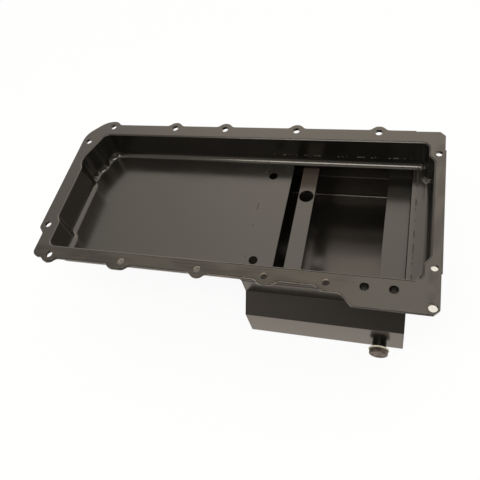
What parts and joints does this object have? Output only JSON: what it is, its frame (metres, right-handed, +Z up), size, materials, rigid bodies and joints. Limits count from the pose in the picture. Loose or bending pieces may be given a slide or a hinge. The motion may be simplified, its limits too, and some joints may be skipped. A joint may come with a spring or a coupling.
{
  "type": "engine oil pan",
  "caption": "Welded steel wet-sump oil pan with a shallow front tray, a deep kicked-out rear sump, baffles, a drain plug and an oil port pad.",
  "frame": {"origin": "midway between the two side bolts that face each other across the pan, on the sealing face", "axes": "+X along the pan towards the deep sump and the engine's rear, +Y towards the side without the oil ports, +Z up out of the sealing face"},
  "size_m": [0.52, 0.2645, 0.148],
  "materials": {
    "pan_paint": "satin",
    "weld_paint": "satin, rippled",
    "plug_steel": "satin",
    "washer_fibre": "matte"
  },
  "bodies": {
    "root": {"pan_rail": "pan_paint", "tray": "pan_paint", "sump_wrap": "pan_paint", "sump_front_plate": "pan_paint", "sump_rear_plate": "pan_paint", "dipstick_strip": "pan_paint", "rear_baffle": "pan_paint", "port_block": "pan_paint", "drain_bung": "pan_paint", "drain_plug": "plug_steel", "drain_washer": "washer_fibre", "rail_weld": "weld_paint", "front_seam_weld": "weld_paint", "rear_seam_weld": "weld_paint", "sump_side_welds": "weld_paint", "sump_end_welds": "weld_paint", "port_block_weld": "weld_paint", "bung_weld": "weld_paint"}
  },
  "joints": []
}
